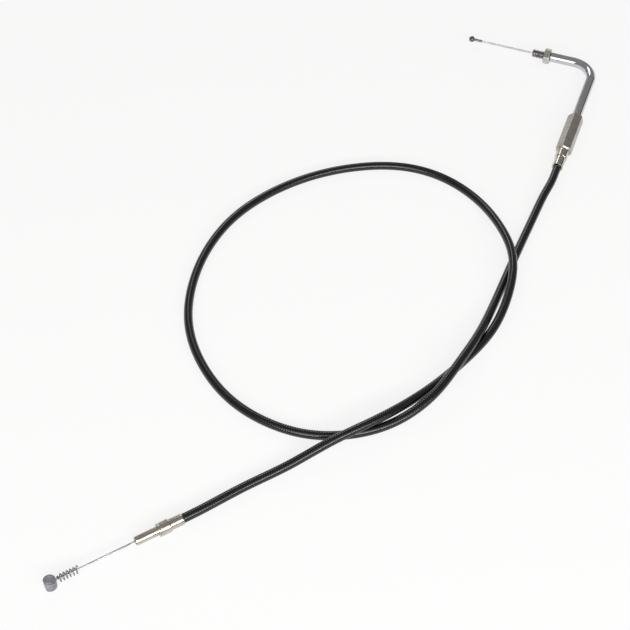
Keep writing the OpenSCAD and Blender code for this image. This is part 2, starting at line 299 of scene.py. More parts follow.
@dataclass(frozen=True)
class Axis:
    """A line that turned pieces share, with places along it in millimetres.

    Attributes:
        origin: Where the axis's nought lies.
        along: Unit direction of the axis.
        side: Unit direction from which angles are counted.
    """

    origin: Vector
    along: Vector
    side: Vector

    def point(self, s: float, r: float, angle: float) -> Vector:
        """Returns the place in metres at s along, r out and an angle round the axis."""
        up = self.along.cross(self.side)
        out = self.side * math.cos(angle) + up * math.sin(angle)
        return (self.origin + self.along * s + out * r) * MM

    def matrix(self, s: float) -> Matrix:
        """Returns the turn and shift that lay a piece's own Z on the axis, from s onward."""
        up = self.along.cross(self.side)
        turn = Matrix((self.side, up, self.along)).transposed().to_4x4()
        return Matrix.Translation((self.origin + self.along * s) * MM) @ turn


LOWER_TURN = math.radians(51)
LOWER_WAY = Vector((math.cos(LOWER_TURN), math.sin(LOWER_TURN), 0))
LOWER_MOUTH = Vector((105.3, 530.5, -2))
LEG_X = -51.7
# The nipple's centre lies this far from the guide tube's mouth, along the wire.
NIPPLE_AT = 55.2
STUD = Axis(Vector((0, 0, 0)), Vector((1, 0, 0)), Vector((0, 0, -1)))
LEG = Axis(Vector((LEG_X, 0, 0)), Vector((0, 1, 0)), Vector((1, 0, 0)))
LOWER = Axis(LOWER_MOUTH, LOWER_WAY, Vector((0, 0, -1)))
NIPPLE_AXIS = Axis(LOWER_MOUTH + LOWER_WAY * NIPPLE_AT, Vector((0, 0, 1)), LOWER_WAY)


def eased(profile: Profile, ease: float, closed: bool = True) -> Profile:
    """Rounds a profile's corners, as a deburred edge is, and backs them with close rings.

    Args:
        profile: Corners as (along, out), in millimetres.
        ease: How far the rounding reaches along each side.
        closed: Whether the last corner joins the first.

    Returns:
        The rounded profile.
    """
    corners = [Vector(p) for p in profile]
    count = len(corners)
    rounded: Profile = []
    for i, corner in enumerate(corners):
        if not closed and i in (0, count - 1):
            rounded.append(tuple(corner))
            continue
        before = corners[i - 1] - corner
        after = corners[(i + 1) % count] - corner
        reach = min(ease, before.length * ROUNDING_SHARE, after.length * ROUNDING_SHARE)
        a = corner + before.normalized() * reach
        b = corner + after.normalized() * reach
        rounded.append(tuple(corner + before.normalized() * reach * BACKING))
        for t in (0.0, 0.25, 0.5, 0.75, 1.0):
            rounded.append(tuple(a * (1 - t) ** 2 + corner * 2 * t * (1 - t) + b * t**2))
        rounded.append(tuple(corner + after.normalized() * reach * BACKING))
    return rounded


def finely(start: float, end: float, step: float, r: float) -> Profile:
    """Returns evenly spaced places along a straight stretch at one radius."""
    count = max(1, round(abs(end - start) / step))
    return [(start + (end - start) * i / count, r) for i in range(count + 1)]


def shown(mesh: bpy.types.Mesh, name: str, finish: Finish) -> bpy.types.Object:
    """Links a mesh into the scene as a piece with its material.

    Args:
        mesh: The finished mesh, in place.
        name: The piece's name.
        finish: What it is made of.

    Returns:
        The piece.
    """
    mesh.name = name
    mesh.materials.clear()
    mesh.materials.append(finish.material())
    mesh.shade_smooth()
    piece = bpy.data.objects.new(name, mesh)
    bpy.context.scene.collection.objects.link(piece)
    return piece


def turned(
    name: str,
    axis: Axis,
    profile: Profile,
    finish: Finish,
    shape: Optional[Shape] = None,
    sides: int = 72,
    closed: bool = True,
) -> bpy.types.Object:
    """Makes a piece whose profile goes once round an axis.

    Args:
        name: The piece's name.
        axis: The axis that it is turned about.
        profile: Places as (along, out) in millimetres.
        finish: What it is made of.
        shape: Gives the radius at a place along, a profile radius and an angle.
        sides: Steps round the axis.
        closed: False for a solid whose profile starts and ends on the axis.

    Returns:
        The piece.
    """
    bm = bmesh.new()
    grid = []
    for s, r in profile:
        ring = []
        for k in range(sides):
            angle = TURN * k / sides
            out = shape(s, r, angle) if shape else r
            ring.append(bm.verts.new(axis.point(s, out, angle)))
        grid.append(ring)
    last = len(grid) if closed else len(grid) - 1
    for i in range(last):
        one, two = grid[i], grid[(i + 1) % len(grid)]
        for k in range(sides):
            j = (k + 1) % sides
            bm.faces.new((one[k], one[j], two[j], two[k]))
    bmesh.ops.remove_doubles(bm, verts=bm.verts, dist=1e-7)
    bmesh.ops.recalc_face_normals(bm, faces=bm.faces)
    mesh = bpy.data.meshes.new(name)
    bm.to_mesh(mesh)
    bm.free()
    return shown(mesh, name, finish)


def hexagon(across_flats: float, tilt: float = 0.0) -> Shape:
    """Returns the shape of hexagon stock with slightly worn corners.

    Args:
        across_flats: Width across the flats in millimetres.
        tilt: Angle of the first corner.
    """
    # A higher wear leaves a sharper corner.
    flat, wear = across_flats / 2, 70
    widest_bore = flat * 0.9

    def radius(_s: float, r: float, angle: float) -> float:
        """Returns the lesser of the profile's radius and the hexagon's, with a worn edge."""
        if r < widest_bore:
            return r
        total = sum(
            max(0.0, math.cos(angle - tilt - math.radians(30 + 60 * k))) ** wear for k in range(6)
        )
        stock = flat / total ** (1 / wear)
        return (stock**-wear + r**-wear) ** (-1 / wear)

    return radius


def path_tree() -> bpy.types.NodeTree:
    """Builds the tree that sweeps a round section, ribbed if asked, along a path.

    Returns:
        The tree, with named inputs for its sizes.
    """
    tree = bpy.data.node_groups.new("section_along_path", "GeometryNodeTree")
    sockets = (
        ("Path", "NodeSocketGeometry"),
        ("Radius", "NodeSocketFloat"),
        ("Step", "NodeSocketFloat"),
        ("Sides", "NodeSocketInt"),
        ("Rib pitch", "NodeSocketFloat"),
        ("Rib depth", "NodeSocketFloat"),
        ("Caps", "NodeSocketBool"),
        ("Material", "NodeSocketMaterial"),
    )
    for name, kind in sockets:
        tree.interface.new_socket(name, in_out="INPUT", socket_type=kind)
    tree.interface.new_socket("Mesh", in_out="OUTPUT", socket_type="NodeSocketGeometry")
    given = add(tree, "NodeGroupInput").outputs
    line = add(tree, "GeometryNodeMeshToCurve", {"Mesh": given["Path"]})
    even = add(
        tree,
        "GeometryNodeResampleCurve",
        {"Curve": line.outputs["Curve"], "Length": given["Step"]},
        mode="LENGTH",
    )
    run = add(tree, "GeometryNodeSplineParameter").outputs["Length"]

    def sum_of(kind: str, one: object, two: object) -> bpy.types.NodeSocket:
        """Adds one Math node and returns its result."""
        return add(tree, "ShaderNodeMath", {0: one, 1: two}, operation=kind).outputs[0]

    phase = sum_of("MULTIPLY", sum_of("DIVIDE", run, given["Rib pitch"]), TURN)
    hollow = sum_of("SUBTRACT", 1.0, sum_of("COSINE", phase, 0.0))
    cut = sum_of("MULTIPLY", sum_of("MULTIPLY", hollow, given["Rib depth"]), 0.5)
    radius = sum_of("SUBTRACT", given["Radius"], cut)
    section = add(
        tree,
        "GeometryNodeCurvePrimitiveCircle",
        {"Resolution": given["Sides"], "Radius": 1.0},
        mode="RADIUS",
    )
    swept = add(
        tree,
        "GeometryNodeCurveToMesh",
        {
            "Curve": even.outputs["Curve"],
            "Profile Curve": section.outputs["Curve"],
            "Scale": radius,
            "Fill Caps": given["Caps"],
        },
    )
    whole = add(tree, "GeometryNodeRealizeInstances", {"Geometry": swept.outputs["Mesh"]})
    dressed = add(
        tree,
        "GeometryNodeSetMaterial",
        {"Geometry": whole.outputs["Geometry"], "Material": given["Material"]},
    )
    add(tree, "NodeGroupOutput", {"Mesh": dressed.outputs["Geometry"]})
    return tree


def strand_tree() -> bpy.types.NodeTree:
    """Builds the tree that lays fine wires helically round a core, along its own Z.

    Returns:
        The tree, with named inputs for its sizes.
    """
    tree = bpy.data.node_groups.new("laid_strand", "GeometryNodeTree")
    sockets = (
        ("Host", "NodeSocketGeometry"),
        ("Length", "NodeSocketFloat"),
        ("Turns", "NodeSocketFloat"),
        ("Wires", "NodeSocketInt"),
        ("Wire radius", "NodeSocketFloat"),
        ("Lay radius", "NodeSocketFloat"),
        ("Material", "NodeSocketMaterial"),
    )
    for name, kind in sockets:
        tree.interface.new_socket(name, in_out="INPUT", socket_type=kind)
    tree.interface.new_socket("Mesh", in_out="OUTPUT", socket_type="NodeSocketGeometry")
    given = add(tree, "NodeGroupInput").outputs
    helix = add(
        tree,
        "GeometryNodeCurveSpiral",
        {
            "Resolution": 20,
            "Rotations": given["Turns"],
            "Start Radius": given["Lay radius"],
            "End Radius": given["Lay radius"],
            "Height": given["Length"],
        },
    )
    points = add(tree, "GeometryNodePoints", {"Count": given["Wires"]})
    share = add(
        tree,
        "ShaderNodeMath",
        {0: add(tree, "GeometryNodeInputIndex").outputs[0], 1: given["Wires"]},
        operation="DIVIDE",
    )
    angle = add(tree, "ShaderNodeMath", {0: share.outputs[0], 1: TURN}, operation="MULTIPLY")
    turn = add(tree, "ShaderNodeCombineXYZ", {"Z": angle.outputs[0]})
    laid = add(
        tree,
        "GeometryNodeInstanceOnPoints",
        {
            "Points": points.outputs[0],
            "Instance": helix.outputs["Curve"],
            "Rotation": turn.outputs[0],
        },
    )
    lines = add(tree, "GeometryNodeRealizeInstances", {"Geometry": laid.outputs["Instances"]})
    fine = add(
        tree,
        "GeometryNodeCurvePrimitiveCircle",
        {"Resolution": 7, "Radius": given["Wire radius"]},
        mode="RADIUS",
    )
    wires = add(
        tree,
        "GeometryNodeCurveToMesh",
        {
            "Curve": lines.outputs["Geometry"],
            "Profile Curve": fine.outputs["Curve"],
            "Fill Caps": True,
        },
    )
    end = add(tree, "ShaderNodeCombineXYZ", {"Z": given["Length"]})
    middle = add(tree, "GeometryNodeCurvePrimitiveLine", {"End": end.outputs[0]})
    thick = add(
        tree,
        "GeometryNodeCurvePrimitiveCircle",
        {"Resolution": 16, "Radius": given["Lay radius"]},
        mode="RADIUS",
    )
    core = add(
        tree,
        "GeometryNodeCurveToMesh",
        {
            "Curve": middle.outputs["Curve"],
            "Profile Curve": thick.outputs["Curve"],
            "Fill Caps": True,
        },
    )
    both = add(tree, "GeometryNodeJoinGeometry")
    tree.links.new(wires.outputs["Mesh"], both.inputs[0])
    tree.links.new(core.outputs["Mesh"], both.inputs[0])
    whole = add(tree, "GeometryNodeRealizeInstances", {"Geometry": both.outputs[0]})
    dressed = add(
        tree,
        "GeometryNodeSetMaterial",
        {"Geometry": whole.outputs["Geometry"], "Material": given["Material"]},
    )
    add(tree, "NodeGroupOutput", {"Mesh": dressed.outputs["Geometry"]})
    return tree


def grown(
    tree: bpy.types.NodeTree, sizes: dict[str, object], path: Sequence[Vector]
) -> bpy.types.Mesh:
    """Runs a tree on a path and returns the result as a plain mesh.

    Args:
        tree: The Geometry Nodes tree.
        sizes: Its inputs by name.
        path: Points in metres that the host mesh joins by edges.

    Returns:
        The mesh, free of its modifier.
    """
    line = bpy.data.meshes.new("path")
    line.from_pydata([tuple(p) for p in path], [(i, i + 1) for i in range(len(path) - 1)], [])
    host = bpy.data.objects.new("path_host", line)
    bpy.context.scene.collection.objects.link(host)
    work = host.modifiers.new("grow", "NODES")
    work.node_group = tree
    for item in tree.interface.items_tree:
        if item.in_out == "INPUT" and item.name in sizes:
            work[item.identifier] = sizes[item.name]
    ready = host.evaluated_get(bpy.context.evaluated_depsgraph_get())
    mesh = bpy.data.meshes.new_from_object(ready)
    host.modifiers.clear()
    bpy.data.objects.remove(host)
    return mesh


def close_rim(bm: bmesh.types.BMesh, end: Vector, way: Vector, middle: float) -> None:
    """Joins the open rims of a tube's two walls by a flat ring.

    Args:
        bm: The two walls, which have as many sides as each other.
        end: Centre of the ring, in metres.
        way: Unit direction of the tube there.
        middle: A radius between the two walls.
    """
    side = way.orthogonal().normalized()
    up = way.cross(side)
    reach, slack = middle * 1.6, middle * 0.2
    rim = [
        v
        for v in bm.verts
        if v.is_boundary and (v.co - end).length < reach and abs((v.co - end).dot(way)) < slack
    ]
    wide = [v for v in rim if (v.co - end).length > middle]
    narrow = [v for v in rim if (v.co - end).length <= middle]
    wide.sort(key=lambda v: math.atan2((v.co - end).dot(up), (v.co - end).dot(side)))
    mates = [min(narrow, key=lambda n, v=v: (n.co - v.co).length) for v in wide]
    for k in range(len(wide)):
        j = (k + 1) % len(wide)
        bm.faces.new((wide[k], wide[j], mates[j], mates[k]))


def hollow_tube(
    name: str,
    tree: bpy.types.NodeTree,
    path: Sequence[Vector],
    outer: dict[str, object],
    inner: dict[str, object],
    finish: Finish,
) -> bpy.types.Object:
    """Makes a tube with a real bore: two swept walls joined by a ring at each end.

    Args:
        name: The piece's name.
        tree: The tree that sweeps a section along a path.
        path: Centre line in metres.
        outer: Sizes of the outer wall.
        inner: Sizes of the bore.
        finish: What it is made of.

    Returns:
        The piece.
    """
    common = {"Caps": False, "Material": finish.material()}
    bm = bmesh.new()
    bm.from_mesh(grown(tree, {**common, **outer}, path))
    bm.from_mesh(grown(tree, {**common, **inner}, path))
    middle = (outer["Radius"] + inner["Radius"]) / 2
    for end, way in ((path[0], path[1] - path[0]), (path[-1], path[-1] - path[-2])):
        close_rim(bm, end, way.normalized(), middle)
    bmesh.ops.recalc_face_normals(bm, faces=bm.faces)
    mesh = bpy.data.meshes.new(name)
    bm.to_mesh(mesh)
    bm.free()
    return shown(mesh, name, finish)


def settle(piece: bpy.types.Object, body: str, slot: str, *nodes: str) -> None:
    """Hangs a piece on the body that it rides on, and hides the CAD nodes that it stands for.

    Args:
        piece: The finished piece.
        body: The body it moves with.
        slot: The record's material slot; not used.
        *nodes: CAD nodes that it stands for.
    """
    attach(piece, body)
    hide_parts(*nodes)
    LOG.info("%s rides on %s, %d faces", piece.name, body, len(piece.data.polygons))


# ---------------------------------------------------------------- sub-assemblies


@dataclass
class Studio:
    """A pale floor, soft lamps, black cards and the camera that looks down on the loop.

    The camera's distance and aim are in millimetres, the floor and the cards in metres.
    """

    azimuth: float = 200.5
    elevation: float = 49.0
    distance: float = 950.8
    lens: float = 79.87
    aim: tuple[float, float, float] = (66.9, 326.4, 0.0)
    floor_size: float = 12.0
    floor_glow: float = 0.8
    card_at: float = 1.5
    card_half: float = 0.65
    card_low: float = 0.02
    card_high: float = 0.34

    def build(self) -> None:
        """Makes the camera first, then the floor, the lamps and the room."""
        self.camera()
        self.floor()
        self.lamp("long_strip", 212.0, 27.0, 1.6, (2.8, 0.2), 24.0)
        self.lamp("soft_box", 200.0, 47.0, 1.7, (2.2, 0.6), 11.0)
        self.lamp("far_left_box", 30.0, 35.0, 1.8, (0.45, 0.6), 4.0)
        for azimuth in (200.0, 252.0, 306.0):
            self.dark_card(azimuth)
        self.room()
        bpy.context.scene.view_settings.view_transform = "Standard"

    def way(self, azimuth: float, elevation: float) -> Vector:
        """Returns the unit direction from the cable to a place round it."""
        a, e = math.radians(azimuth), math.radians(elevation)
        return Vector((math.sin(a) * math.cos(e), -math.cos(a) * math.cos(e), math.sin(e)))

    def camera(self) -> None:
        """Places the camera, which looks straight at its aim."""
        data = bpy.data.cameras.new("camera")
        data.lens = self.lens
        data.sensor_width = 36.0
        camera = bpy.data.objects.new("camera", data)
        back = self.way(self.azimuth, self.elevation)
        camera.location = (Vector(self.aim) + back * self.distance) * MM
        camera.rotation_mode = "QUATERNION"
        camera.rotation_quaternion = (-back).to_track_quat("-Z", "Y")
        bpy.context.scene.collection.objects.link(camera)
        bpy.context.scene.camera = camera

    def floor(self) -> None:
        """Lays the pale floor, which shows as near white and keeps a soft shadow."""
        mesh = bpy.data.meshes.new("floor")
        h, z = self.floor_size / 2, cad_box[0].z
        mesh.from_pydata([(-h, -h, z), (h, -h, z), (h, h, z), (-h, h, z)], [], [(0, 1, 2, 3)])
        floor = bpy.data.objects.new("floor", mesh)
        bpy.context.scene.collection.objects.link(floor)
        paint = bpy.data.materials.new("pale_floor")
        paint.use_nodes = True
        tree = paint.node_tree
        tree.nodes.clear()
        rays = add(tree, "ShaderNodeLightPath").outputs
        seen = add(
            tree,
            "ShaderNodeMath",
            {0: rays["Is Camera Ray"], 1: rays["Is Glossy Ray"]},
            operation="MAXIMUM",
        )
        seen = add(
            tree,
            "ShaderNodeMath",
            {0: seen.outputs[0], 1: rays["Is Transmission Ray"]},
            operation="MAXIMUM",
        )
        share = add(
            tree,
            "ShaderNodeMath",
            {0: seen.outputs[0], 1: self.floor_glow},
            operation="MULTIPLY",
        )
        matt = add(tree, "ShaderNodeBsdfDiffuse", {"Color": linear("f4f4f3")})
        white = add(tree, "ShaderNodeEmission", {"Color": (1, 1, 1, 1), "Strength": 1.0})
        mixed = add(
            tree,
            "ShaderNodeMixShader",
            {0: share.outputs[0], 1: matt.outputs[0], 2: white.outputs[0]},
        )
        add(tree, "ShaderNodeOutputMaterial", {"Surface": mixed.outputs[0]})
        mesh.materials.append(paint)

    def lamp(
        self,
        name: str,
        azimuth: float,
        elevation: float,
        distance: float,
        size: tuple[float, float],
        power: float,
    ) -> None:
        """Hangs one soft rectangular lamp that faces the cable.

        Args:
            name: The lamp's name.
            azimuth: Where it stands round the cable, as the camera's angle is counted.
            elevation: Its height above the horizon, in degrees.
            distance: How far away it is, in metres.
            size: Width and height in metres.
            power: Power in watts.
        """
        data = bpy.data.lights.new(name, "AREA")
        data.shape = "RECTANGLE"
        data.size, data.size_y = size
        data.energy = power
        lamp = bpy.data.objects.new(name, data)
        back = self.way(azimuth, elevation)
        lamp.location = Vector(self.aim) * MM + back * distance
        lamp.rotation_mode = "QUATERNION"
        lamp.rotation_quaternion = (-back).to_track_quat("-Z", "Y")
        lamp.visible_camera = False
        bpy.context.scene.collection.objects.link(lamp)

    def dark_card(self, azimuth: float) -> None:
        """Stands a low black card on one side, for the thin dark line in the metal.

        Args:
            azimuth: Where it stands round the cable, as the camera's angle is counted.
        """
        mesh = bpy.data.meshes.new("dark_card")
        out = self.way(azimuth, 0.0)
        across = Vector((-out.y, out.x, 0.0))
        foot = Vector(self.aim) * MM + out * self.card_at
        low, high = Vector((0, 0, self.card_low)), Vector((0, 0, self.card_high))
        half = self.card_half
        places = ((-half, low), (half, low), (half, high), (-half, high))
        corners = [foot + across * x + z for x, z in places]
        mesh.from_pydata([tuple(c) for c in corners], [], [(0, 1, 2, 3)])
        card = bpy.data.objects.new("dark_card", mesh)
        bpy.context.scene.collection.objects.link(card)
        card.visible_camera = card.visible_diffuse = card.visible_shadow = False
        paint = bpy.data.materials.new("black_card")
        paint.use_nodes = True
        shader = paint.node_tree.nodes["Principled BSDF"]
        shader.inputs["Base Color"].default_value = linear("060606")
        mesh.materials.append(paint)

    def room(self) -> None:
        """Sets the room: pale at the horizon, and a dim grey ceiling that dark bands mirror."""
        world = bpy.data.worlds.new("room")
        world.use_nodes = True
        tree = world.node_tree
        tree.nodes.clear()
        way = add(tree, "ShaderNodeTexCoord").outputs["Generated"]
        height = add(tree, "ShaderNodeSeparateXYZ", {0: way}).outputs["Z"]
        ramp = add(tree, "ShaderNodeValToRGB", {"Fac": height})
        stops = ramp.color_ramp.elements
        stops[0].position, stops[0].color = 0.0, linear("e8e8e8")
        stops[1].position, stops[1].color = 1.0, linear("9c9a98")
        for place, colour in ((0.12, "c4c4c3"), (0.3, "8e8c8a")):
            stop = stops.new(place)
            stop.color = linear(colour)
        sky = add(tree, "ShaderNodeBackground", {"Color": ramp.outputs[0], "Strength": 1.0})
        add(tree, "ShaderNodeOutputWorld", {"Surface": sky.outputs[0]})
        bpy.context.scene.world = world


@dataclass
class Casing:
    """The black casing on its free route, from the lower ferrule to the upper one."""

    diameter: float = 6.2
    bore: float = 4.6
    length: float = 1189.0
    rib_pitch: float = 1.6
    rib_depth: float = 0.1
    rings_per_rib: int = 4
    sides: int = 18
    bore_step: float = 6
    samples: int = 10
    seats: tuple[float, ...] = (-19.0, -33.0, -47.0)
    route: tuple[tuple[float, float, float], ...] = (
        (58.8, 468.8, -3.2), (39.5, 448, -2.2), (20, 423, 3), (1, 403, 4.8), (-14.5, 379, 1.2),
        (-28, 352.2, -3.2), (-40.2, 324.5, -3.2), (-51.2, 295, -2.5), (-52.6, 262.5, 2.5),
        (-47.5, 230, 4.6), (-30, 202, 1.5), (-6.5, 176, -3.2), (25, 161, -3.2), (58, 160, -3.2),
        (89.6, 173, -3.2), (117.2, 193, -3.2), (140, 219.8, -3.2), (157, 253, -3.2),
        (162.5, 288, -3.2), (160, 322, -3.2), (149.5, 358, -3.2), (128.5, 387.2, -3.2),
        (99.5, 410.4, -3.2), (69, 420.7, -3.2), (38, 421.7, -3.2), (10.3, 411.2, -3.2),
        (-14.2, 392.6, -2.2), (-31.4, 365.6, 3.2), (-37.4, 337.6, 5.6), (-43, 308, 3),
        (-44, 276, -2.8), (-45, 245, -3.2), (-46, 214, -3.2), (-47.8, 184, -3),
        (-49.2, 156.5, -1.4), (LEG_X, 144, 0), (LEG_X, 130, 0), (LEG_X, 116, 0),
    )

    def centre_line(self) -> list[Vector]:
        """Returns the route's smooth curve in metres, from the lower ferrule on."""
        guides = [LOWER.origin + LOWER.along * s for s in self.seats]
        guides += [Vector(p) for p in self.route]
        guides.insert(0, 2 * guides[0] - guides[1])
        guides.append(2 * guides[-1] - guides[-2])
        line = []
        for i in range(1, len(guides) - 2):
            a, b, c, d = guides[i - 1 : i + 3]
            for k in range(self.samples):
                t = k / self.samples
                line.append(
                    (
                        a * (1 - t) ** 3
                        + b * (3 * t**3 - 6 * t * t + 4)
                        + c * (1 + 3 * t + 3 * t * t - 3 * t**3)
                        + d * t**3
                    )
                    * (MM / 6)
                )
        line.append(guides[-2] * MM)
        return line

    def build(self, tree: bpy.types.NodeTree) -> None:
        """Args:
            tree: The tree that sweeps a section along a path.
        """
        line = self.centre_line()
        ribs = {
            "Radius": self.diameter / 2 * MM,
            "Step": self.rib_pitch / self.rings_per_rib * MM,
            "Sides": self.sides,
            "Rib pitch": self.rib_pitch * MM,
            "Rib depth": self.rib_depth * MM,
        }
        smooth = {
            "Radius": self.bore / 2 * MM,
            "Step": self.bore_step * MM,
            "Sides": self.sides,
            "Rib pitch": 1.0,
            "Rib depth": 0.0,
        }
        jacket = hollow_tube("ribbed_jacket", tree, line, ribs, smooth, VINYL)
        settle(jacket, "casing", "jacket", "casing_jacket")


@dataclass
class CarburettorEnd:
    """The stepped cap, guide tube, wire, spring and nipple of the carburettor end."""

    collar_r: float = 4.4
    crimp_r: float = 3.65
    guide_r: float = 2.95
    nipple_r: float = 3.9
    nipple_len: float = 8.0
    flat_reach: float = 3.35
    wire_from: float = -6.0
    wire_to: float = NIPPLE_AT

    def build_caps(self) -> None:
        """Makes the pressed cap with its crimp dents, and the guide tube."""
        c, k = self.collar_r, self.crimp_r
        cap = eased(
            [
                (-31.5, k - 0.1), (-31.0, k), (-22.9, k), (-22.4, c), (-16.9, c),
                (-16.6, c - 0.25), (-16.2, c - 0.25), (-15.9, c), (-15.0, c), (-15.0, 2.68),
                (-18.99, 2.68), (-18.99, 3.13), (-31.5, 3.13),
            ],
            0.14,
        )
        settle(turned("lower_cap", LOWER, cap, NICKEL), "casing", "nickel", "lower_ferrule")
        g = self.guide_r
        nose = eased(
            [
                (-18.97, 2.65), (-15.01, 2.65), (-15.0, g), (-1.0, g), (0.0, g - 0.25),
                (0.0, 2.35), (-0.6, 2.0), (-18.97, 2.0),
            ],
            0.16,
        )
        settle(turned("guide_nose", LOWER, nose, NICKEL), "casing", "nickel", "guide_tube")

    def build_pull(self, path: bpy.types.NodeTree, strand: bpy.types.NodeTree) -> None:
        """Makes the wire, its spring and the nipple.

        Args:
            path: The tree that sweeps a section along a path.
            strand: The tree that lays a strand.
        """
        wire = laid_wire("carb_strand", strand, LOWER, self.wire_from, self.wire_to)
        settle(wire, "carb_pull", "wire", "carb_wire")
        mesh = grown(
            path,
            {
                "Radius": 0.4 * MM, "Step": 0.3 * MM, "Sides": 12, "Rib pitch": 1.0,
                "Rib depth": 0.0, "Caps": True, "Material": SPRING_WIRE.material(),
            },
            self.spring_line(),
        )
        spring = shown(mesh, "coil_spring", SPRING_WIRE)
        settle(spring, "carb_pull", "spring_steel", "return_spring")
        self.build_nipple()

    def spring_line(self) -> list[Vector]:
        """Returns the coil: a short tail, six open turns, and a hook that grips the wire."""
        line, steps, turns = [], 240, 6.3
        starts, length = 37.1, 13.2
        coil_r, hook_r, tail_lift = 2.2, 1.13, 0.35
        hook_from, hook_share, tail_share = 0.9, 0.1, 0.03
        for i in range(steps + 1):
            t = i / steps
            closing = max(0.0, (t - hook_from) / hook_share)
            tail = max(0.0, (tail_share - t) / tail_share)
            r = coil_r - (coil_r - hook_r) * closing**2 + tail_lift * tail
            line.append(LOWER.point(starts + length * t, r, TURN * turns * t + math.pi))
        return line

    def build_nipple(self) -> None:
        """Makes the cast barrel with a flat on its far side and a raised disc on top."""
        r, half = self.nipple_r, self.nipple_len / 2
        barrel_top, disc_r, disc_top = 3.2, 2.96, 3.85
        # A little over the barrel's top, so that the flat cuts the top's own edge too.
        flat_top = 3.25

        def flatted(s: float, radius: float, angle: float) -> float:
            """Returns the barrel's radius, cut back by the flat below the disc."""
            facing = math.cos(angle)
            if s >= flat_top or facing <= 0:
                return radius
            return min(radius, self.flat_reach / max(facing, 1e-3))

        profile = eased(
            [
                (-half, 0.0), (-half, r - 0.2), (-3.7, r), (2.9, r), (barrel_top, r - 0.25),
                (barrel_top, disc_r), (disc_top, disc_r), (half, 2.8), (half, 2.0),
                (disc_top, 1.8), (disc_top, 0.0),
            ],
            0.12,
            closed=False,
        )
        barrel = turned("cast_nipple", NIPPLE_AXIS, profile, CAST_ZINC, flatted, 96, False)
        settle(barrel, "carb_pull", "cast_zinc", "barrel_nipple")


def laid_wire(
    name: str, tree: bpy.types.NodeTree, axis: Axis, start: float, end: float
) -> bpy.types.Object:
    """Makes a straight length of 1.4 mm strand: twelve wires laid round a core.

    Args:
        name: The piece's name.
        tree: The tree that lays a strand.
        axis: The axis it lies on.
        start: Where it begins along the axis, in millimetres.
        end: Where it ends.

    Returns:
        The piece.
    """
    length, lay_mm = end - start, 9.0
    sizes = {
        "Length": length * MM,
        "Turns": length / lay_mm,
        "Wires": 12,
        "Wire radius": 0.15 * MM,
        "Lay radius": 0.55 * MM,
        "Material": STRAND.material(),
    }
    mesh = grown(tree, sizes, [Vector((0, 0, 0)), Vector((0, 0, MM))])
    mesh.transform(axis.matrix(start))
    return shown(mesh, name, STRAND)


@dataclass
class Adjuster:
    """The upper cap and the long hexagon sleeve."""

    sleeve_from: float = 66.0
    sleeve_to: float = 107.5
    across_flats: float = 11.1
    tilt: float = math.radians(-17)

    def build(self) -> None:
        """Makes the cap with its bright step ring, and the sleeve with its milled hexagon."""
        cap = eased(
            [
                (104.2, 4.45), (104.6, 4.6), (115.4, 4.6), (116.0, 4.1), (125.2, 4.1),
                (125.4, 4.2), (126.0, 4.1), (126.0, 3.13), (115.98, 3.13), (115.98, 3.24),
                (104.2, 3.24),
            ],
            0.14,
        )
        settle(turned("upper_cap", LEG, cap, NICKEL), "casing", "nickel", "upper_ferrule")
        a, b = self.sleeve_from, self.sleeve_to
        corner = self.across_flats / 2 / math.cos(math.radians(30))
        nose = [(a + 1.5 * i / 10, corner - 1.9 + 1.95 * i / 10) for i in range(11)]
        tail = [(b - 1.3 * (1 - i / 10), corner - 1.9 * i / 10) for i in range(11)]
        bore = eased(
            [(b, 4.76), (b - 3.5, 4.76), (b - 3.5, 4.38), (a + 4, 4.38), (a + 4, 3.88), (a, 3.88)],
            0.15,
            closed=False,
        )
        profile = nose + finely(a + 1.8, b - 1.6, 1.5, corner + 0.06) + tail + bore
        sleeve = turned(
            "hex_sleeve", LEG, profile, SATIN_NICKEL, hexagon(self.across_flats, self.tilt), 144
        )
        settle(sleeve, "sleeve", "sleeve_nickel", "adjuster_sleeve")


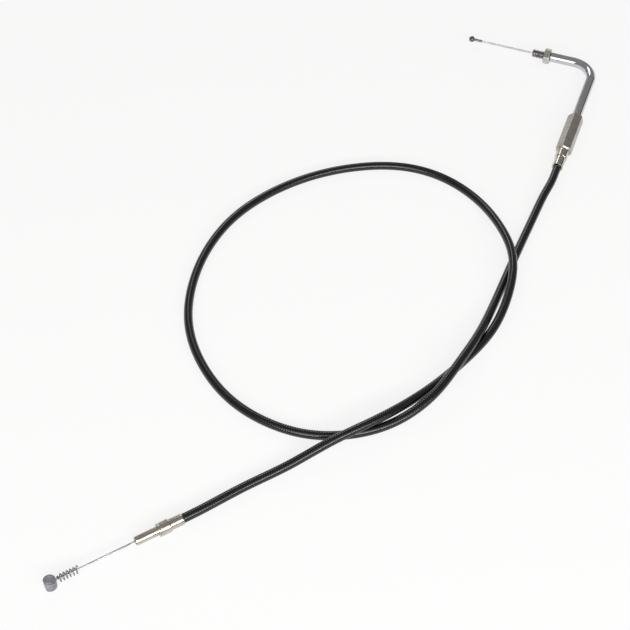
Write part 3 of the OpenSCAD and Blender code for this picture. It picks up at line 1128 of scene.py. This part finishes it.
@dataclass
class Elbow:
    """The chromed elbow, its threaded stud and the lock nut."""

    tube_d: float = 7.6
    tube_bore: float = 5.6
    tube_from: float = -14.9
    bend_at: float = -33.7
    bend_r: float = 18.0
    leg_x: float = LEG_X
    tube_end: float = 74.4
    pitch: float = 1.27
    thread_depth: float = 0.6
    stud_r: float = 3.175
    nut_flats: float = 11.1
    nut_tilt: float = math.radians(-9)

    def centre_line(self) -> list[Vector]:
        """Returns the tube's line in metres: straight, a quarter bend, straight."""
        line = [Vector((self.tube_from, 0, 0)), Vector((self.bend_at, 0, 0))]
        for i in range(1, 49):
            a = math.radians(90 * i / 48)
            line.append(
                Vector(
                    (
                        self.bend_at - self.bend_r * math.sin(a),
                        self.bend_r * (1 - math.cos(a)),
                        0,
                    )
                )
            )
        line.append(Vector((self.leg_x, self.tube_end, 0)))
        return [p * MM for p in line]

    def build(self, tree: bpy.types.NodeTree) -> None:
        """Makes the bent tube, the stud with its rolled thread, and the nut.

        Args:
            tree: The tree that sweeps a section along a path.
        """
        plain = {"Step": 0.6 * MM, "Sides": 56, "Rib pitch": 1.0, "Rib depth": 0.0}
        tube = hollow_tube(
            "chromed_elbow",
            tree,
            self.centre_line(),
            {**plain, "Radius": self.tube_d / 2 * MM},
            {**plain, "Radius": self.tube_bore / 2 * MM},
            CHROME,
        )
        settle(tube, "elbow", "chromed_tube", "elbow_tube")
        self.build_stud()
        self.build_nut()

    def build_stud(self) -> None:
        """Makes the stud: a rolled thread that runs out at both ends, on a plain neck."""
        # Rings narrower than this carry no thread.
        least_threaded = 3.1
        runs_from, runs_to, run_out = -9.4, -0.25, 0.6
        # The groove is flat at the bottom, with sloping flanks.
        flank_top, flank_slope = 1.25, 3.4

        def threaded(s: float, r: float, angle: float) -> float:
            """Returns the thread's radius, from its phase round and along the stud."""
            if r < least_threaded:
                return r
            phase = (s / self.pitch - angle / TURN) % 1.0
            groove = min(1.0, max(0.0, flank_top - abs(phase - 0.5) * flank_slope))
            fade = min(1.0, max(0.0, (runs_to - s) / run_out), max(0.0, (s - runs_from) / run_out))
            return r - self.thread_depth * groove * fade

        thread = finely(runs_from, -0.55, 0.09, self.stud_r)
        neck = [(-14.9, 2.875), (-9.52, 2.875), (-9.5, 3.12)]
        spigot = [(-20.9, 1.9), (-20.9, 2.77), (-14.91, 2.77)]
        mouth = [(-0.45, 3.13), (0.0, 2.75), (0.0, 2.15), (-0.3, 1.9)]
        profile = spigot + neck + thread + mouth
        stud = turned("rolled_stud", STUD, profile, THREAD_STEEL, threaded, 64)
        settle(stud, "elbow", "stud_steel", "threaded_stud")

    def build_nut(self) -> None:
        """Makes the lock nut, chamfered on both faces."""
        a, b = -14.7, -9.5
        corner = self.nut_flats / 2 / math.cos(math.radians(30))
        nose = [(a + 0.7 * i / 8, corner - 1.0 + 1.05 * i / 8) for i in range(9)]
        tail = [(b - 0.7 * (1 - i / 8), corner + 0.05 - 1.05 * i / 8) for i in range(9)]
        bore = eased([(b, 3.3), (b - 0.35, 2.955), (a + 0.35, 2.955), (a, 3.3)], 0.1, closed=False)
        profile = nose + finely(a + 0.9, b - 0.9, 0.8, corner + 0.06) + tail + bore
        stock = hexagon(self.nut_flats, self.nut_tilt)
        nut = turned("jam_nut", STUD, profile, ZINC_PLATE, stock, 144)
        settle(nut, "nut", "nut_zinc", "lock_nut")


@dataclass
class GripPull:
    """The wire that the twist grip pulls, with its collar and ball."""

    wire_from: float = -32.7
    ball_at: float = 51.3
    ball_r: float = 2.4
    collar_r: float = 1.05
    collar_len: float = 6.0

    def build(self, strand: bpy.types.NodeTree) -> None:
        """Makes the strand, the crimped collar and the ball with its pour mark.

        Args:
            strand: The tree that lays a strand.
        """
        wire = laid_wire("grip_strand", strand, STUD, self.wire_from, self.ball_at - 1.9)
        settle(wire, "grip_pull", "wire", "grip_wire")
        b, r = self.ball_at - self.ball_r, self.collar_r
        a = b - self.collar_len
        groove, wire_hole = r - 0.1, 0.73
        profile = eased(
            [
                (a, groove), (a + 0.2, r), (a + 1.9, r), (a + 2.1, groove), (a + 2.7, groove),
                (a + 2.9, r), (b, r), (b, wire_hole), (a, wire_hole),
            ],
            0.08,
        )
        collar = turned("wire_collar", STUD, profile, CAST_BALL, sides=40)
        settle(collar, "grip_pull", "ball_metal", "ball_collar")
        arc = []
        steps = 32
        for i in range(steps + 1):
            angle = math.pi * i / steps
            along = self.ball_at - self.ball_r * math.cos(angle)
            arc.append((along, self.ball_r * math.sin(angle)))
        arc[0] = (arc[0][0], 0.0)
        arc[-1] = (arc[-1][0], 0.0)
        # The pour mark: a small step down just before the ball's far end.
        arc[-3:-1] = [(self.ball_at + 2.3, 0.62), (self.ball_at + 2.22, 0.3)]
        ball = turned("cast_ball", STUD, arc, CAST_BALL, sides=56, closed=False)
        settle(ball, "grip_pull", "ball_metal", "ball_end")


@dataclass
class HiddenWorks:
    """CAD pieces that keep their own shape and only get their finish."""

    finishes: dict[str, Finish] = field(
        default_factory=lambda: {
            "casing_winding": WINDING,
            "casing_liner": LINER,
            "casing_core": STRAND,
            "adjuster_screw": ZINC_PLATE,
            "guide_bush": LINER,
            "thrust_washer": BRASS,
            "swivel_collar": ZINC_PLATE,
            "elbow_liner": LINER,
            "elbow_core": STRAND,
            "stud_bush": LINER,
        }
    )

    def dress(self) -> None:
        """Puts each finish on its node's material slots."""
        for name, finish in self.finishes.items():
            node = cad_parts[name]
            if not node.material_slots:
                node.data.materials.append(finish.material())
            for place in node.material_slots:
                place.material = finish.material()
            LOG.info("%s dressed in %s", name, finish.name)


def main() -> None:
    """Builds the studio and every sub-assembly in order."""
    logging.basicConfig(level=logging.INFO, format="%(name)s: %(message)s")
    Studio().build()
    path, strand = path_tree(), strand_tree()
    carburettor_end = CarburettorEnd()
    carburettor_end.build_caps()
    Casing().build(path)
    carburettor_end.build_pull(path, strand)
    Adjuster().build()
    Elbow().build(path)
    GripPull().build(strand)
    HiddenWorks().dress()


if __name__ == "__main__":
    main()
